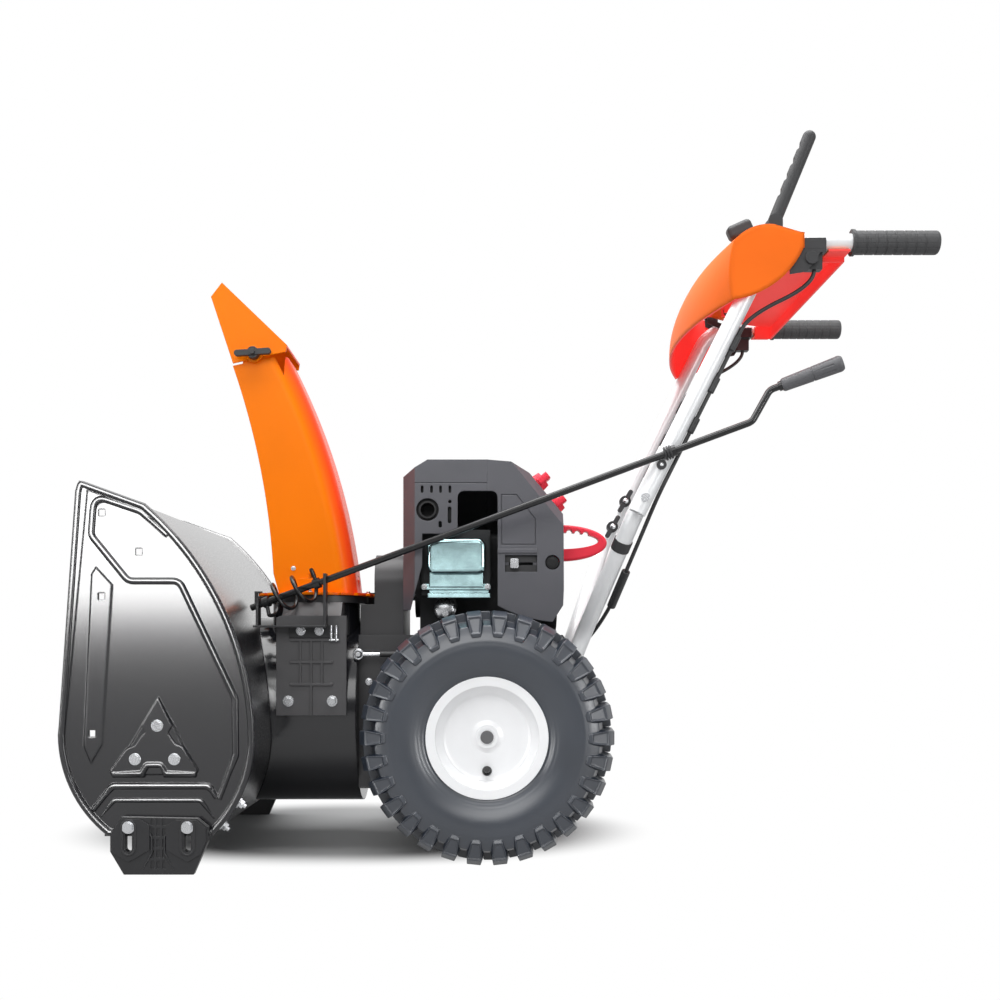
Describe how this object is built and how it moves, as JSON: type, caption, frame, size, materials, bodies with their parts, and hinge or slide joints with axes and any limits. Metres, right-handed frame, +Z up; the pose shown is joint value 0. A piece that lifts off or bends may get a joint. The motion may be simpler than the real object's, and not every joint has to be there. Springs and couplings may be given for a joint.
{
  "type": "snow blower",
  "caption": "Walk-behind two-stage snow blower with an open auger housing, turning discharge chute, engine, lugged wheels and tube handles with control levers.",
  "frame": {"origin": "on the ground, in the middle of the overall length and width", "axes": "+X to the rear, towards the handles; +Y to the machine's right as its user walks behind it; +Z up"},
  "size_m": [1.251, 0.658, 1.0594],
  "materials": {
    "housing_paint": "black semi-gloss paint on pressed sheet steel",
    "orange_plastic": "orange moulded plastic",
    "black_plastic": "black moulded plastic",
    "grey_plastic": "grey moulded plastic",
    "shroud_plastic": "dark grey moulded plastic",
    "red_plastic": "red moulded plastic",
    "zinc": "zinc plated steel",
    "silver_paint": "silver grey paint",
    "auger_paint": "black paint",
    "black_wire": "black coated spring wire",
    "cast_aluminium": "cast aluminium",
    "muffler_steel": "dull heat-stained steel",
    "tyre_rubber": "black rubber",
    "belt_rubber": "black rubber or sheath",
    "cord": "braided cord"
  },
  "bodies": {
    "chassis": {"side_plates": "housing_paint", "auger_housing": "housing_paint", "impeller_drum": "housing_paint", "tower_bracket": "housing_paint", "scraper_bar": "housing_paint", "transmission_case": "housing_paint", "bottom_cover": "housing_paint", "belt_cover": "housing_paint", "worm_bracket": "housing_paint", "skid_shoes": "housing_paint", "dash_panel": "orange_plastic", "chute_collar": "black_plastic", "handle_knobs": "black_plastic", "grips": "black_plastic", "lever_brackets": "black_plastic", "cable_ties": "black_plastic", "front_shroud": "shroud_plastic", "rear_shroud": "shroud_plastic", "fuel_tank": "shroud_plastic", "shoe_bolts": "zinc", "bearing_bolts": "zinc", "handle_bolts": "zinc", "axle_bushes": "zinc", "impeller_bearing": "zinc", "auger_bearings": "zinc", "rod_guide": "zinc", "lower_handles": "silver_paint", "upper_handles": "silver_paint", "auger_gearbox": "auger_paint", "engine_block": "cast_aluminium", "valve_cover": "cast_aluminium", "muffler": "muffler_steel", "drive_belt": "belt_rubber", "control_cables": "belt_rubber", "starter_cord": "cord"},
    "wheels": {"axle": "zinc", "rims": "silver_paint", "tyres": "tyre_rubber", "valve_stems": "zinc"},
    "auger": {"auger_shaft": "zinc", "auger_left": "auger_paint", "auger_right": "auger_paint"},
    "impeller": {"impeller_fan": "auger_paint", "impeller_shaft": "zinc", "impeller_pulley": "zinc"},
    "engine_output": {"engine_pulley": "zinc"},
    "chute": {"chute": "orange_plastic"},
    "deflector": {"deflector": "orange_plastic", "deflector_knobs": "black_plastic"},
    "crank": {"chute_worm": "black_wire", "crank_rod": "black_wire"},
    "crank_grip": {"crank_grip": "grey_plastic"},
    "drive_lever": {"drive_lever": "black_plastic"},
    "auger_lever": {"auger_lever": "black_plastic"},
    "shift_lever": {"shift_lever": "black_plastic"},
    "recoil_handle": {"recoil_handle": "red_plastic"},
    "choke_knob": {"choke_knob": "red_plastic"},
    "stop_knob": {"stop_knob": "red_plastic"},
    "fuel_lever": {"fuel_lever": "shroud_plastic"},
    "fuel_cap": {"fuel_cap": "black_plastic"}
  },
  "joints": [
    {"name": "wheel_roll", "type": "hinge", "parent": "chassis", "child": "wheels", "pos_m": [-0.0235, 0, 0.185], "axis": [0, 1, 0], "continuous": true},
    {"name": "auger_spin", "type": "hinge", "parent": "chassis", "child": "auger", "pos_m": [-0.4885, 0, 0.175], "axis": [0, 1, 0], "continuous": true},
    {"name": "impeller_spin", "type": "hinge", "parent": "chassis", "child": "impeller", "pos_m": [-0.2955, 0, 0.215], "axis": [1, 0, 0], "continuous": true},
    {"name": "engine_spin", "type": "hinge", "parent": "chassis", "child": "engine_output", "pos_m": [-0.1785, 0, 0.404], "axis": [1, 0, 0], "continuous": true},
    {"name": "chute_rotate", "type": "hinge", "parent": "chassis", "child": "chute", "pos_m": [-0.2955, -0.05, 0.3965], "axis": [0, 0, 1], "range_deg": [-100, 100]},
    {"name": "chute_crank", "type": "hinge", "parent": "chassis", "child": "crank", "pos_m": [-0.31972, -0.15935, 0.3985], "axis": [0.9235, -0.2045, 0.3245], "range_deg": [-1800, 1800]},
    {"name": "crank_grip_spin", "type": "hinge", "parent": "crank", "child": "crank_grip", "pos_m": [0.37574, -0.29606, 0.67991], "axis": [0.9235, -0.2045, 0.3245], "continuous": true},
    {"name": "deflector_tilt", "type": "hinge", "parent": "chute", "child": "deflector", "pos_m": [-0.3835, -0.05, 0.769], "axis": [0, -1, 0], "range_deg": [0, 60]},
    {"name": "drive_lever_squeeze", "type": "hinge", "parent": "chassis", "child": "drive_lever", "pos_m": [0.3885, -0.262, 0.926], "axis": [0, 1, 0], "range_deg": [0, 63], "stiffness_Nm_per_rad": 0.8},
    {"name": "auger_lever_squeeze", "type": "hinge", "parent": "chassis", "child": "auger_lever", "pos_m": [0.3885, 0.262, 0.926], "axis": [0, 1, 0], "range_deg": [0, 63], "stiffness_Nm_per_rad": 0.8},
    {"name": "shift_select", "type": "hinge", "parent": "chassis", "child": "shift_lever", "pos_m": [0.3745, 0, 0.868], "axis": [0, 1, 0], "range_deg": [-11, 20]},
    {"name": "recoil_pull", "type": "slide", "parent": "chassis", "child": "recoil_handle", "axis": [1, 0, 0], "range_m": [0, 0.6], "stiffness_N_per_m": 30, "deforming": ["starter_cord"]},
    {"name": "choke_turn", "type": "hinge", "parent": "chassis", "child": "choke_knob", "pos_m": [0.05262, -0.15, 0.56412], "axis": [0.7753, 0, 0.6315], "range_deg": [0, 90]},
    {"name": "stop_turn", "type": "hinge", "parent": "chassis", "child": "stop_knob", "pos_m": [0.07888, -0.128, 0.53188], "axis": [0.7753, 0, 0.6315], "range_deg": [0, 60]},
    {"name": "fuel_valve", "type": "slide", "parent": "chassis", "child": "fuel_lever", "axis": [1, 0, 0], "range_m": [0, 0.022]},
    {"name": "fuel_cap_turn", "type": "hinge", "parent": "chassis", "child": "fuel_cap", "pos_m": [-0.0115, 0.133, 0.57], "axis": [0, 0, 1], "range_deg": [0, 90]}
  ],
  "couplings": [
    {"joint": "impeller_spin", "follows": "auger_spin", "ratio": 10},
    {"joint": "engine_spin", "follows": "auger_spin", "ratio": 20},
    {"joint": "chute_crank", "follows": "chute_rotate", "ratio": -18}
  ]
}
